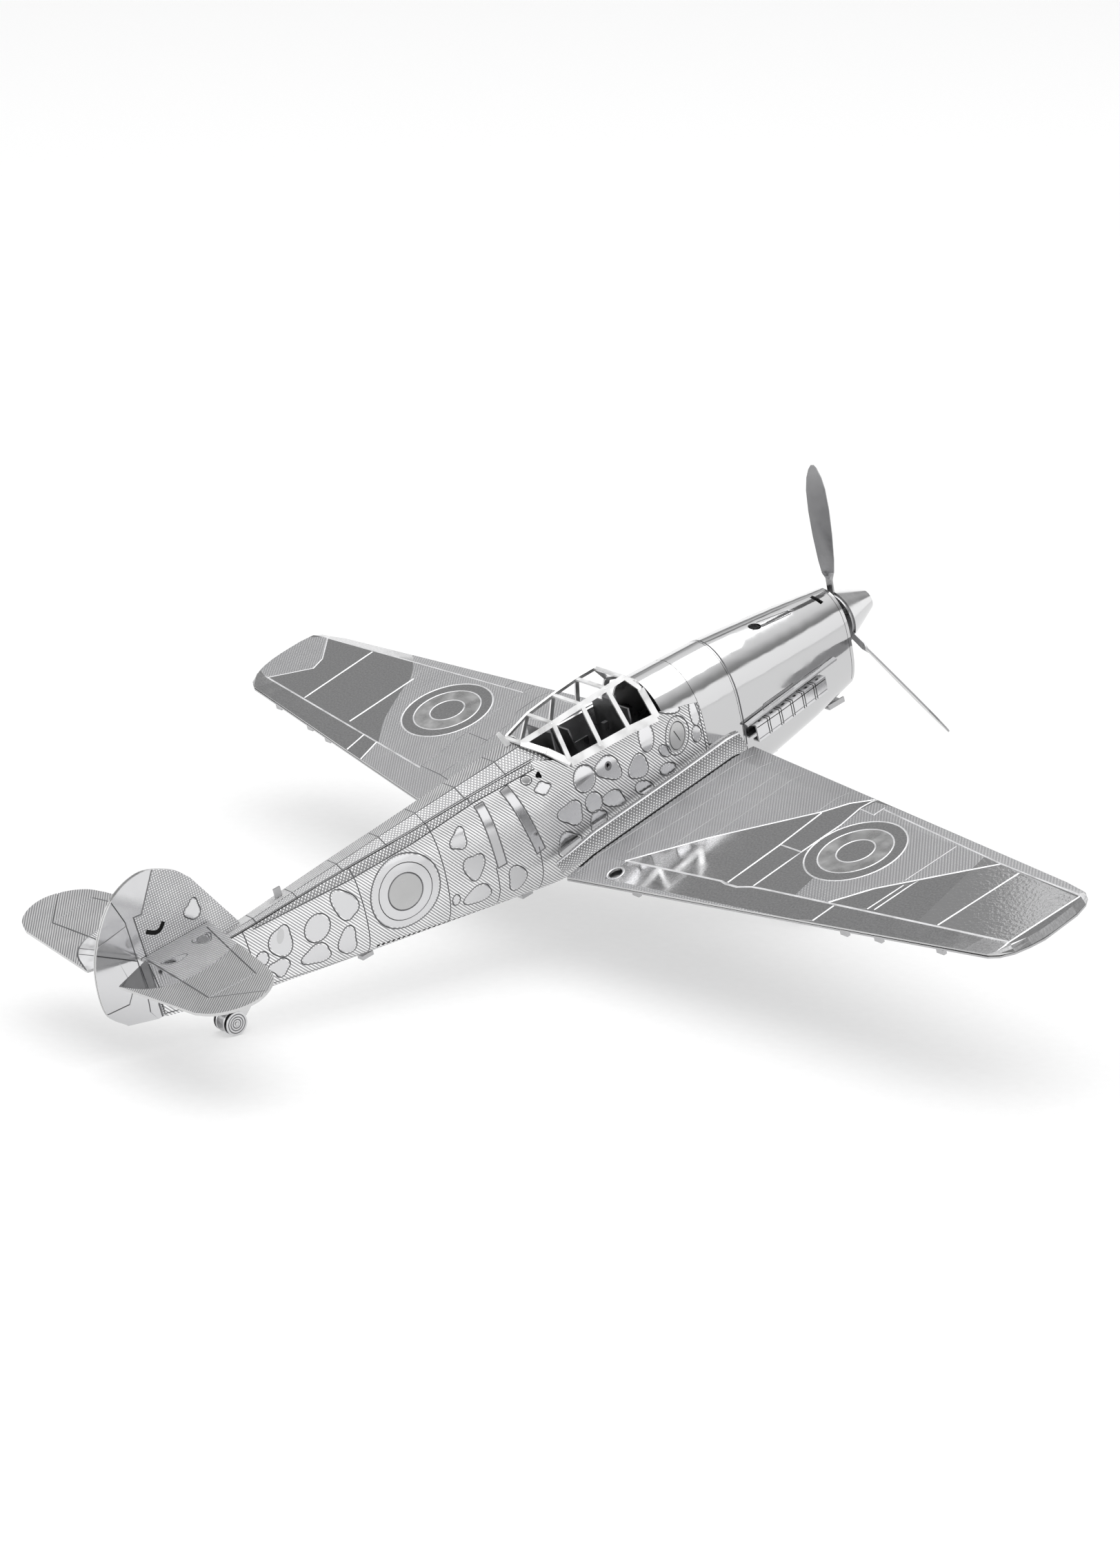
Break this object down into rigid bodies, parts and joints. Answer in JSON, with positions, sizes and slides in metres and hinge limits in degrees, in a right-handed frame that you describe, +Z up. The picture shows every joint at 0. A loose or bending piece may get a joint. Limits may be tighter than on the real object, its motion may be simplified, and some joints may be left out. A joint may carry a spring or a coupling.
{
  "type": "propeller plane model",
  "caption": "Sheet-metal display model of a low-wing propeller fighter: etched skins, open lattice canopy, spinning propeller, rolling main wheels and tail wheel",
  "frame": {"origin": "centre of the bounding box in plan, at the level of the three wheels", "axes": "+X to the model's left wing (port), nose towards -Y, +Z up, standing nose-up on its wheels"},
  "size_m": [0.1264, 0.0994, 0.0474],
  "materials": {
    "etched_steel": "bare stainless sheet with a fine etched hatch, satin",
    "polished_steel": "bare stainless sheet, bright mirror polish",
    "plain_steel": "bare stainless sheet, half-bright, cut edges"
  },
  "bodies": {
    "airframe": {"antenna_mast": "plain_steel", "belly_strip": "plain_steel", "canopy_frame": "polished_steel", "cockpit_floor": "plain_steel", "control_stick": "plain_steel", "cowl_deck": "polished_steel", "engine_cowling": "polished_steel", "exhaust_row_left": "plain_steel", "exhaust_row_right": "plain_steel", "exhaust_shelf_left": "plain_steel", "exhaust_shelf_right": "plain_steel", "fin_rudder_skin_left": "etched_steel", "fin_rudder_skin_right": "etched_steel", "firewall": "plain_steel", "forward_shell": "polished_steel", "fuselage_side_left": "etched_steel", "fuselage_side_right": "etched_steel", "gear_door_left": "plain_steel", "gear_door_right": "plain_steel", "gear_leg_left": "plain_steel", "gear_leg_right": "plain_steel", "headrest_frame": "plain_steel", "instrument_panel": "plain_steel", "locking_tabs": "plain_steel", "nose_bulkhead": "plain_steel", "oil_cooler": "plain_steel", "radiator_left": "plain_steel", "radiator_right": "plain_steel", "rear_bulkhead": "plain_steel", "seat": "plain_steel", "spine_panel": "etched_steel", "supercharger_intake": "plain_steel", "tail_wheel_axle": "plain_steel", "tail_wheel_fork": "plain_steel", "tailplane_left": "etched_steel", "tailplane_right": "etched_steel", "wheel_axle_left": "plain_steel", "wheel_axle_right": "plain_steel", "wing_fillet_left": "etched_steel", "wing_fillet_right": "etched_steel", "wing_lower_skin_left": "etched_steel", "wing_lower_skin_right": "etched_steel", "wing_spar_left": "plain_steel", "wing_spar_right": "plain_steel", "wing_upper_skin_left": "etched_steel", "wing_upper_skin_right": "etched_steel"},
    "propeller_assembly": {"propeller": "polished_steel", "spinner": "polished_steel", "spinner_backplate": "polished_steel", "propeller_shaft": "plain_steel", "shaft_collar": "plain_steel"},
    "left_wheel": {"main_wheel_left": "plain_steel"},
    "right_wheel": {"main_wheel_right": "plain_steel"},
    "rear_wheel": {"tail_wheel": "plain_steel"}
  },
  "joints": [
    {"name": "propeller_spin", "type": "hinge", "parent": "airframe", "child": "propeller_assembly", "pos_m": [0, -0.04497, 0.02968], "axis": [0, -0.9615, 0.2749], "continuous": true},
    {"name": "left_wheel_spin", "type": "hinge", "parent": "airframe", "child": "left_wheel", "pos_m": [0.01, -0.03528, 0.0039], "axis": [1, 0, 0], "continuous": true},
    {"name": "right_wheel_spin", "type": "hinge", "parent": "airframe", "child": "right_wheel", "pos_m": [-0.01, -0.03528, 0.0039], "axis": [1, 0, 0], "continuous": true},
    {"name": "rear_wheel_spin", "type": "hinge", "parent": "airframe", "child": "rear_wheel", "pos_m": [0, 0.03447, 0.00125], "axis": [1, 0, 0], "continuous": true}
  ]
}
